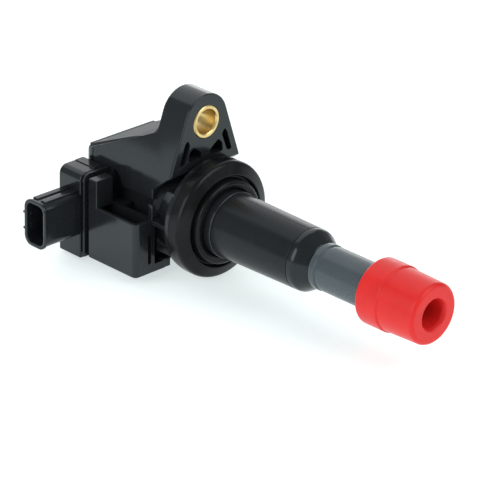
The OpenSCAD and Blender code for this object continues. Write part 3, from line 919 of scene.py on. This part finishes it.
def make_connector(size):
    """Connector moulding: block, flange, shroud with its collar, rails and nubs, and socket."""
    pin = (PIN_X, PIN_Z)
    mouth, outer, bottom, rib = -44, -27.3, -19.8, -33.75
    corner = arc((outer + 3, 8.2), 3, 90, 180, 8)
    block = [(BLOCK_SIDE, bottom), (BLOCK_SIDE, 11.2), *corner, (outer, bottom)]
    body = prism("connector_housing_looks", "X", REAR, -35.35, block, size.block_edge / MM)
    pad = prism("pad", "Z", 10.5, 11.5, rounded([
        (-45.6, -17, 0.4), (-45.6, -20.6, 0.5), (-36, -20.6, 0.5), (-36, -17, 0.4),
    ]), 0.12)
    shroud = prism("shroud", "Y", -43.6, -26.3, round_rect(pin, 9.8, 16.1, 3))
    lip = round_rect(pin, 10.6, 16.9, 3.4)
    collar = prism("collar", "Y", mouth, -42.8, lip, size.shroud_edge / MM)
    rails, rail_width, rail_top = [], 2.5, 5.05
    for start in (PIN_X - 3.3, PIN_X + 0.6):
        stop = start + rail_width
        rail = [(start, 3.8), (start, rail_top, 0.4), (stop, rail_top, 0.4), (stop, 3.8)]
        rails.append(prism("rail", "Y", -41.8, -27, rounded(rail), 0.2))
    nubs = [
        brick("nub", (-45.6, -43.8, z), (-43.8, -42.6, z + 0.9), 0.2) for z in (-1.15, -6.95)
    ]
    combine(
        body, "UNION", pad,
        prism("flange", "X", rib, rib + FLANGE_PLATE, flange_outline(BLOCK_SIDE), 0.12),
        prism("flange_core", "X", -35.6, rib + FLANGE_PLATE, flange_outline(BLOCK_SIDE, GROOVE)),
        shroud, collar, *rails, *nubs,
        brick("throat", (-43.4, -17, -10.1), (-35.5, -12, 3.2)),
    )
    width, height, slack = 7.8, 14.1, 0.05
    socket = prism("socket", "Y", -45, -29.5, round_rect(pin, width, height, 2.2))
    combine(body, "DIFFERENCE", socket)
    tidy(body)

    def at_mouth(mesh, edge):
        """True of the socket's own edges in the face of its mouth."""
        return all(
            abs(end.x - PIN_X) < width / 2 + slack
            and abs(end.z - PIN_Z) < height / 2 + slack
            and end.y < mouth + slack
            for end in edge_ends(mesh, edge)
        )

    round_edges(body, 0.7, 2, at_mouth)
    return body


def make_blade(size):
    """One terminal blade with a pointed tip, at the middle place."""
    outline = [
        (-39.3, -4.05), (-38.5, -4.6), (-10, -4.6), (-10, -2.3), (-38.5, -2.3), (-39.3, -2.85),
    ]
    return prism("blade", "X", -39.77, -39.13, outline, size.blade_edge / MM, 2)


# ---- Operators ----


class CoilOperator:
    """What the operators share."""

    bl_options = {"REGISTER", "UNDO"}

    def execute(self, context):
        if not FINISHES:
            FINISHES.update(make_finishes(context.scene.coil_colours))
        self.make(context, context.scene.coil_sizes)
        return {"FINISHED"}


class COIL_OT_head(CoilOperator, bpy.types.Operator):
    """Make the head moulding"""

    bl_idname, bl_label = "coil.head", "Head"

    def make(self, context, size):
        finish_piece(make_head(size), "coil", "black_gloss_plastic", FINISHES["gloss"], "head_case")


class COIL_OT_connector(CoilOperator, bpy.types.Operator):
    """Make the connector moulding"""

    bl_idname, bl_label = "coil.connector", "Connector"

    def make(self, context, size):
        finish_piece(
            make_connector(size), "coil", "black_gloss_plastic", FINISHES["gloss"],
            "connector_housing",
        )


class COIL_OT_blades(CoilOperator, bpy.types.Operator):
    """Make the three terminal blades"""

    bl_idname, bl_label = "coil.blades", "Terminal blades"

    def make(self, context, size):
        blade = make_blade(size)
        rows = {"supply_terminal": 1, "ground_terminal": 0, "trigger_terminal": -1}
        for node, row in rows.items():
            copy = blade.copy()
            copy.data = blade.data.copy()
            copy.name = copy.data.name = node + "_looks"
            context.scene.collection.objects.link(copy)
            copy.data.transform(Matrix.Translation((0, 0, row * PIN_PITCH * MM)))
            finish_piece(copy, "coil", "tinned_brass", FINISHES["tinned"], node)
        bpy.data.objects.remove(blade)


class COIL_OT_resin(CoilOperator, bpy.types.Operator):
    """Make the resin with its sunken rear face"""

    bl_idname, bl_label = "coil.resin", "Potting resin"

    def make(self, context, size):
        source = frame["nodes"]["resin_fill"]
        resin = source.copy()
        resin.data = source.data.copy()
        resin.name = resin.data.name = "resin_fill_looks"
        for key in list(resin.keys()):  # what marks the original as a CAD node
            del resin[key]
        resin.parent = None
        context.scene.collection.objects.link(resin)
        tidy(resin)
        rear = span("resin_fill")[0].x

        def at_rear(mesh, face):
            return face.normal.x < -0.9 and abs(face.center.x / MM - rear) < 0.1

        with editing(resin, "FACE", at_rear):
            bpy.ops.mesh.inset(thickness=0.5 * MM, depth=-size.meniscus * 0.7)
            bpy.ops.mesh.inset(thickness=0.9 * MM, depth=-size.meniscus * 0.3)
        finish_piece(resin, "coil", "potting_resin", FINISHES["resin"], "resin_fill")


class COIL_OT_bush(CoilOperator, bpy.types.Operator):
    """Make the brass bush in the ear"""

    bl_idname, bl_label = "coil.bush", "Bolt bush"

    def make(self, context, size):
        low, high = span("bolt_bush")
        profile = [
            (low.x, 4.45, 0.1), (low.x + 0.3, 4.2, 0.1), (high.x - 0.4, 4.2, 0.15),
            (high.x, 4.6, 0.15), (high.x, 5.5, 0.15), (high.x - 0.25, 5.78, 0.1),
            (low.x + 0.25, 5.78, 0.1), (low.x, 5.55, 0.1),
        ]
        bush = turned("bolt_bush_looks", profile, BUSH_Z)
        finish_piece(bush, "coil", "yellow_brass", FINISHES["brass"], "bolt_bush")


class COIL_OT_seal(CoilOperator, bpy.types.Operator):
    """Make the well seal"""

    bl_idname, bl_label = "coil.seal", "Well seal"

    def make(self, context, size):
        profile = [
            (0, 11.75, 0.2), (0, 20.5, 0.35), (4, 20.5, 0.5), (5.1, 20, 0.9), (6.7, 16.0, 0.6),
            (4.7, 15.8, 0.5), (4.7, 14.8, 0.5), (7.8, 14.6, 0.5), (8.3, 13.5, 0.45),
            (7.9, 12.05, 0.25), (7.3, 11.75, 0.2),
        ]
        seal = turned("well_seal_looks", profile)
        finish_piece(seal, "seal", "black_rubber", FINISHES["seal_rubber"], "well_seal")


class COIL_OT_tube(CoilOperator, bpy.types.Operator):
    """Make the coil tube with its mould line"""

    bl_idname, bl_label = "coil.tube", "Coil tube"

    def make(self, context, size):
        profile = [
            (-12, 9.4), (45.1, 9.4, 0.2), (45.1, 10.75, 0.3), (10.95, 11.3, 0.3), (10.95, 10.4),
            (-12, 10.4, 0.4),
        ]
        tube = turned("coil_tube_looks", profile)
        line = size.parting_line / MM
        ridge = [(11.4, 11.0), (11.4, 11.29 + line), (44.6, 10.76 + line), (44.6, 10.5)]
        combine(tube, "UNION", prism("mould_line", "Y", -0.12, 0.12, ridge))
        finish_piece(tube, "coil", "black_satin_plastic", FINISHES["satin"], "coil_tube")


class COIL_OT_cap(CoilOperator, bpy.types.Operator):
    """Make the tube's end cap"""

    bl_idname, bl_label = "coil.cap", "Tube end cap"

    def make(self, context, size):
        profile = [
            (43.1, 2.05), (47.45, 2.05), (47.45, 6.05), (52.2, 6.05, 0.1), (52.2, 7.6, 0.5),
            (47.35, 10.65, 0.8), (45.15, 10.75, 0.3), (45.15, 9.35), (43.1, 9.35),
        ]
        cap = turned("tube_end_cap_looks", profile)
        finish_piece(cap, "coil", "black_gloss_plastic", FINISHES["cap"], "tube_end_cap")


class COIL_OT_tower(CoilOperator, bpy.types.Operator):
    """Make the high-voltage tower"""

    bl_idname, bl_label = "coil.tower", "Tower"

    def make(self, context, size):
        profile = [
            (47.5, 2.05), (56.15, 2.05), (56.15, 3.2), (85.5, 3.2), (85.5, 2.7, 0.2),
            (87, 2.7, 0.3), (87, 6.9, 0.3), (86.2, 7.7, 0.4), (55.85, 7.7, 0.4), (55.05, 7.45, 0.2),
            (54.65, 7.9, 0.3), (52.25, 7.9, 0.3), (52.25, 6.0), (47.5, 6.0),
        ]
        tower = turned("tower_tube_looks", profile)
        finish_piece(tower, "coil", "grey_plastic", FINISHES["slate"], "tower_tube")


class COIL_OT_boot(CoilOperator, bpy.types.Operator):
    """Make the red plug boot"""

    bl_idname, bl_label = "coil.boot", "Plug boot"

    def make(self, context, size):
        profile = [
            (76, 7.76, 0.3), (87.4, 7.76), (87.4, 5.75), (88.8, 5.75), (88.8, 4.95),
            (98.6, 4.95, 0.5), (100, 5.65, 0.4), (100, 9.5, 0.5), (99.1, 10.4, 0.6),
            (85.5, 10.85, 0.3), (85.2, 11.3, 0.45), (76.6, 11.3, 0.5), (76, 10.7, 0.4),
        ]
        boot = turned("plug_boot_looks", profile)
        finish_piece(boot, "boot", "red_silicone", FINISHES["silicone"], "plug_boot")


class COIL_OT_contact(CoilOperator, bpy.types.Operator):
    """Make the sprung plug contact"""

    bl_idname, bl_label = "coil.contact", "Plug contact"

    def make(self, context, size):
        profile = [
            (82.5, 0), (82.5, 2.7, 0.2), (80.5, 2.7, 0.1), (80.5, 3.1, 0.1), (85.45, 3.1, 0.25),
            (85.45, 2.3, 0.1), (88.1, 2.3, 0.5), (88.6, 1.7, 0.4), (88.6, 0),
        ]
        contact = turned("plug_contact_looks", profile)
        finish_piece(contact, "contact", "bright_steel", FINISHES["steel"], "plug_contact")


class COIL_OT_spring(CoilOperator, bpy.types.Operator):
    """Make the contact spring with its closed end turns"""

    bl_idname, bl_label = "coil.spring", "Contact spring"

    def make(self, context, size):
        turns, steps, wire = SPRING_TURNS, 40, SPRING_WIRE
        low, high = span("contact_spring")
        start, stop = low.x + wire, high.x - wire
        ring = [(u, 0, v) for u, v in arc((start, SPRING_RADIUS), wire, 0, 330, 11)]
        spring = loop("contact_spring_looks", ring, "NOTHING")
        pick_only(spring)
        bpy.ops.object.modifier_add(type="SCREW")
        screw = spring.modifiers[-1]
        screw.axis, screw.steps, screw.render_steps, screw.iterations = "X", steps, steps, turns
        screw.screw_offset = 0.001 * MM  # next to nothing: the turns are spread out below
        screw.use_merge_vertices = False
        bpy.ops.object.modifier_apply(modifier=screw.name)
        rise, closed = stop - start, 1 / turns
        count = len(ring)
        for i, vertex in enumerate(spring.data.vertices):
            t = (i // count) / (turns * steps)  # 0 at the rear end and 1 at the front
            if t < closed:
                climb = 2 * wire * t / closed
            elif t > 1 - closed:
                climb = rise - 2 * wire * (1 - t) / closed
            else:
                climb = 2 * wire + (rise - 4 * wire) * (t - closed) / (1 - 2 * closed)
            vertex.co.x += climb * MM
        with editing(spring):
            bpy.ops.mesh.select_all(action="DESELECT")
            bpy.ops.mesh.select_mode(type="EDGE")
            bpy.ops.mesh.select_non_manifold()
            bpy.ops.mesh.fill_holes(sides=0)
            bpy.ops.mesh.select_all(action="SELECT")
            bpy.ops.mesh.normals_make_consistent(inside=False)
        finish_piece(spring, "coil", "bright_steel", FINISHES["wire"], "contact_spring")
        travel = next(j for j in frame["joints"] if j["name"] == "contact_press")["range_m"][1] / MM
        long = high.x - low.x
        (long - travel) / long
        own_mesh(spring)


class COIL_OT_inner(CoilOperator, bpy.types.Operator):
    """Give the sealed inner CAD pieces their finishes"""

    bl_idname, bl_label = "coil.inner", "Inner pieces"

    def make(self, context, size):
        finishes = {
            "outer_core": "sheet_steel", "laminated_core": "sheet_steel",
            "primary_bobbin": "spool", "secondary_bobbin": "spool",
            "primary_winding": "primary_wire", "secondary_winding": "secondary_wire",
            "rear_magnet": "magnet", "front_magnet": "magnet",
            "rear_cushion": "pad_rubber", "front_cushion": "pad_rubber",
            "primary_terminals": "tinned", "igniter_leads": "tinned",
            "igniter_package": "satin", "igniter_heat_plate": "copper",
            "high_voltage_terminal": "steel", "noise_resistor": "resistor",
        }
        for node, finish in finishes.items():
            slots = frame["nodes"][node].material_slots
            for slot in slots:
                slot.material = FINISHES[finish]


class COIL_OT_stage(CoilOperator, bpy.types.Operator):
    """Make the floor, the soft studio light and the camera"""

    bl_idname, bl_label = "coil.stage", "Stage"

    def make(self, context, size):
        scene = context.scene
        low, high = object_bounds()
        bpy.ops.object.select_all(action="DESELECT")
        bpy.ops.mesh.primitive_plane_add(size=FLOOR_SIDE, location=(0, 0, low.z - FLOOR_GAP))
        floor = context.object
        floor.name = "floor"
        floor.data.materials.append(floor_finish("pale_paper", scene.coil_colours.floor))
        floor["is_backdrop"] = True
        target = (low + high) / 2
        for name, (place, (width, height), power) in LAMPS.items():
            bpy.ops.object.light_add(type="AREA", location=place)
            lamp = context.object
            lamp.name = name
            lamp.data.shape, lamp.data.energy = "RECTANGLE", power
            lamp.data.size, lamp.data.size_y = width, height
            lamp.rotation_euler = (target - Vector(place)).to_track_quat("-Z", "Y").to_euler()
        world = bpy.data.worlds.new("studio")
        world.use_nodes = True
        sky = world.node_tree.nodes["Background"]
        sky.inputs["Color"].default_value = (*SKY_COLOUR, 1)
        sky.inputs["Strength"].default_value = SKY_STRENGTH
        scene.world = world
        scene.view_settings.view_transform = "Standard"
        self.add_camera(context, scene.coil_camera)

    @staticmethod
    def add_camera(context, view):
        """The camera, turned about its line of sight by the roll."""
        a, e, roll = view.azimuth, view.elevation, view.roll
        back = Vector((math.sin(a) * math.cos(e), -math.cos(a) * math.cos(e), math.sin(e)))
        right = Vector((math.cos(a), math.sin(a), 0))
        up = back.cross(right)
        turned_right = right * math.cos(roll) + up * math.sin(roll)
        turned_up = up * math.cos(roll) - right * math.sin(roll)
        axes = Matrix((turned_right, turned_up, back)).transposed()
        bpy.ops.object.camera_add()
        camera = context.object
        camera.name = "camera"
        camera.data.lens, camera.data.sensor_width = view.lens, SENSOR_WIDTH
        camera.data.clip_start, camera.data.clip_end = NEAREST, FURTHEST
        place = axes @ Vector((-view.aside, -view.above, view.distance))
        camera.matrix_world = Matrix.Translation(place) @ axes.to_4x4()
        context.scene.camera = camera


STEPS = (
    COIL_OT_head, COIL_OT_connector, COIL_OT_blades, COIL_OT_resin, COIL_OT_bush, COIL_OT_seal,
    COIL_OT_tube, COIL_OT_cap, COIL_OT_tower, COIL_OT_boot, COIL_OT_contact, COIL_OT_spring,
    COIL_OT_inner, COIL_OT_stage,
)
GROUPS = {"coil_sizes": CoilSizes, "coil_colours": CoilColours, "coil_camera": CoilCamera}


class COIL_PT_panel(bpy.types.Panel):
    """Lists the steps of the coil, with its sizes and colours"""

    bl_label = "Ignition coil"
    bl_space_type = "VIEW_3D"
    bl_region_type = "UI"
    bl_category = "Ignition coil"

    def draw(self, context):
        for step in STEPS:
            self.layout.operator(step.bl_idname)
        for group in GROUPS:
            settings = getattr(context.scene, group)
            for name in settings.__annotations__:
                self.layout.prop(settings, name)


def register():
    for cls in (*GROUPS.values(), *STEPS, COIL_PT_panel):
        bpy.utils.register_class(cls)
    for name, group in GROUPS.items():
        setattr(bpy.types.Scene, name, bpy.props.PointerProperty(type=group))


def unregister():
    for name in GROUPS:
        delattr(bpy.types.Scene, name)
    for cls in reversed((*GROUPS.values(), *STEPS, COIL_PT_panel)):
        bpy.utils.unregister_class(cls)


def main():
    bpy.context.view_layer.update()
    register()
    for step in STEPS:
        group, name = step.bl_idname.split(".")
        getattr(getattr(bpy.ops, group), name)()


if __name__ == "__main__":
    main()
